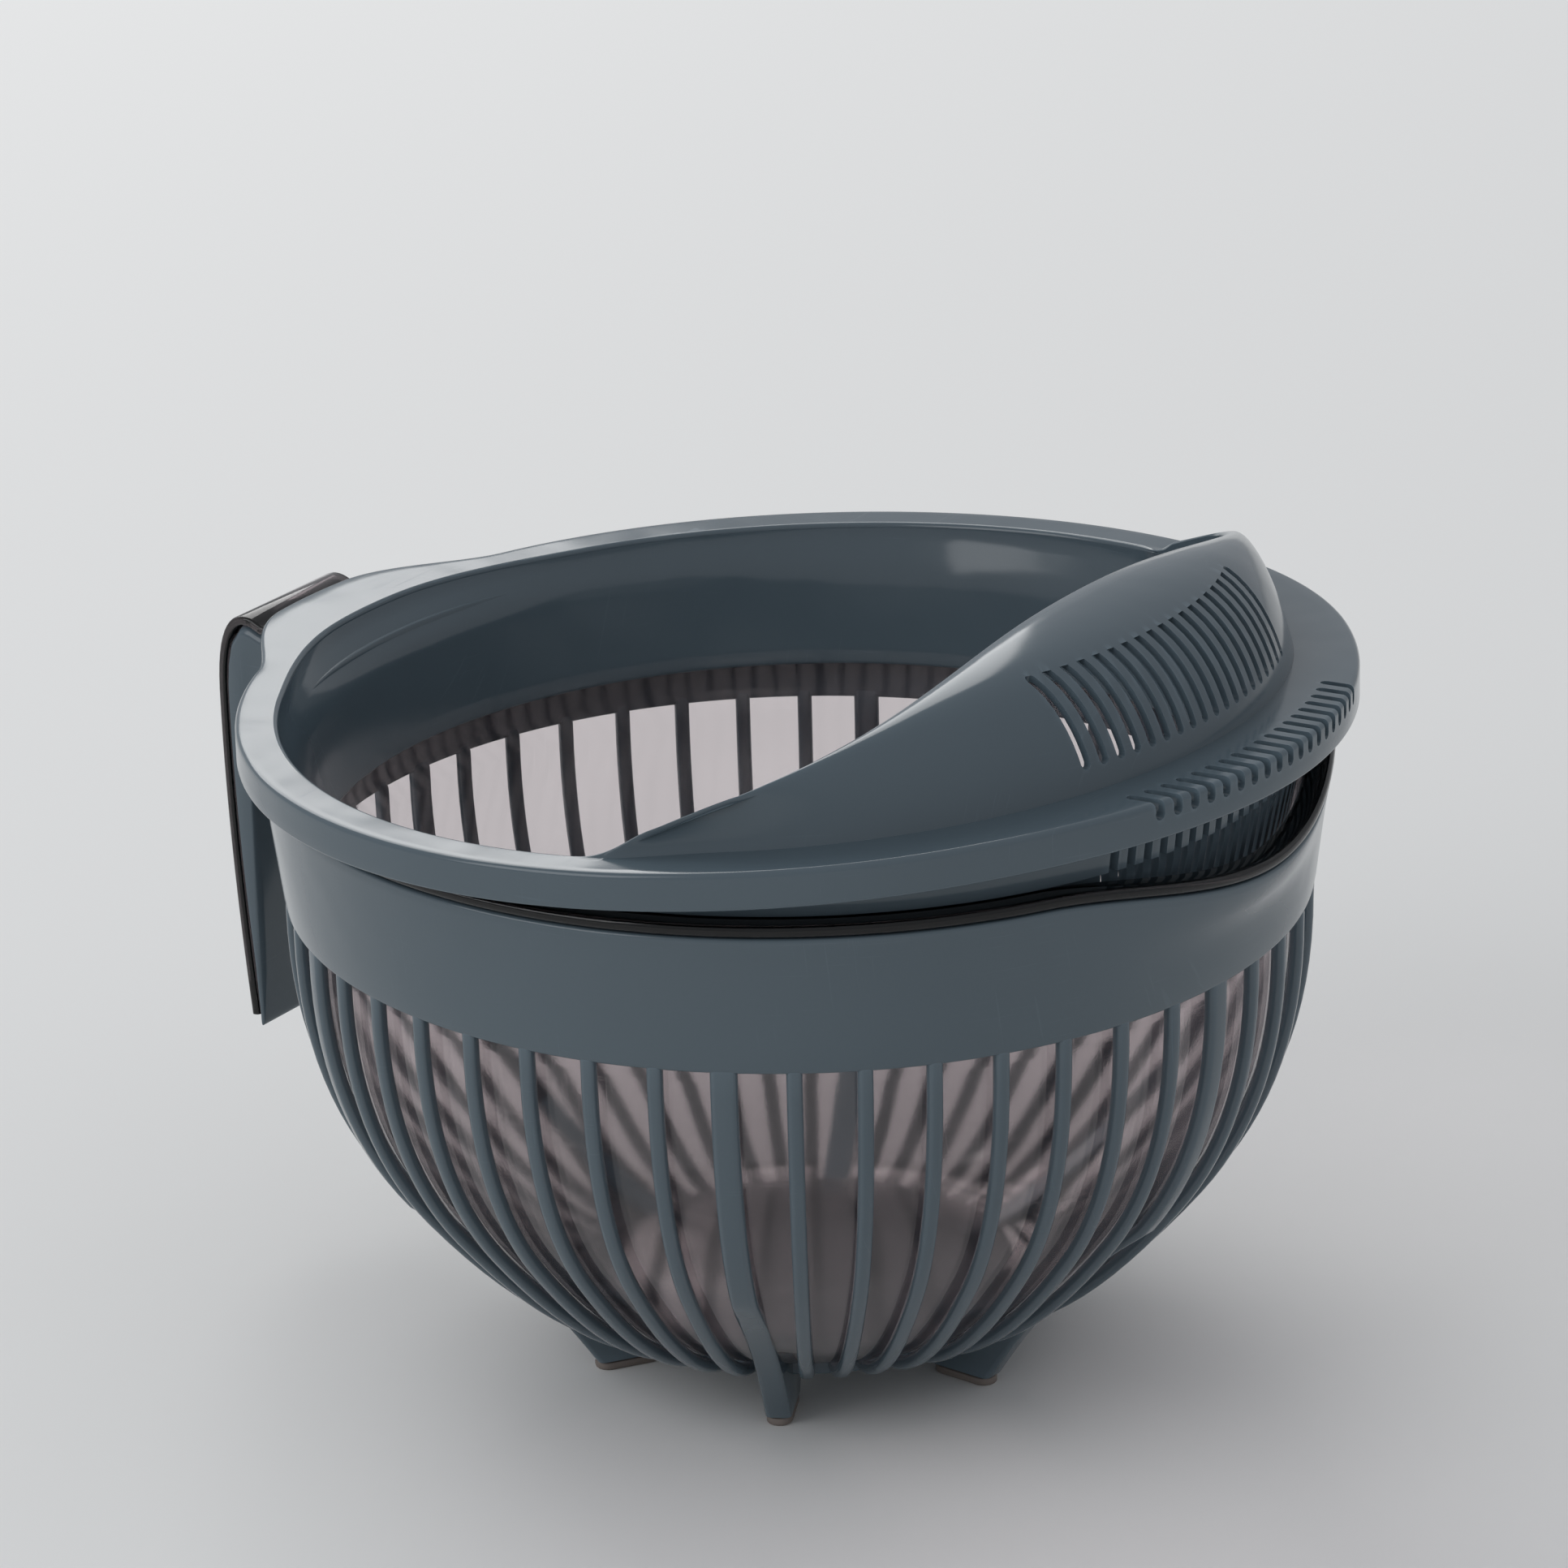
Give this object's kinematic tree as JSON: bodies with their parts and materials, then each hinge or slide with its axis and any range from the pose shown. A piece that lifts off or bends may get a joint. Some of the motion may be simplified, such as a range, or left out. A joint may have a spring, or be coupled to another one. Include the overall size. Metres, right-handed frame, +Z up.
{
  "type": "salad washing and draining bowl set",
  "caption": "Ribbed drain cage on feet with a nested clear bowl, a double handle, and a strainer ring whose slotted visor covers the pouring side.",
  "frame": {"origin": "on the table, under the middle of the object's box", "axes": "+X towards the pouring side, opposite the handle; +Z up along the bowl's axis"},
  "size_m": [0.2886, 0.259, 0.2001],
  "materials": {
    "slate_plastic": "gloss, moulded",
    "smoke_plastic": "clear, tinted a smoky rose-brown",
    "pad_rubber": "matt"
  },
  "bodies": {
    "cage": {"drain_cage": "slate_plastic", "foot_pad_1": "pad_rubber", "foot_pad_2": "pad_rubber", "foot_pad_3": "pad_rubber", "foot_pad_4": "pad_rubber", "foot_pad_5": "pad_rubber", "foot_pad_6": "pad_rubber"},
    "bowl": {"clear_bowl": "smoke_plastic"},
    "ring": {"strainer_ring": "slate_plastic"}
  },
  "joints": [
    {"name": "bowl_lift", "type": "slide", "parent": "cage", "child": "bowl", "axis": [-0.0958, 0, 0.9954], "range_m": [0, 0.16]},
    {"name": "ring_lift", "type": "slide", "parent": "bowl", "child": "ring", "axis": [0, 0, 1], "range_m": [0, 0.06]}
  ]
}
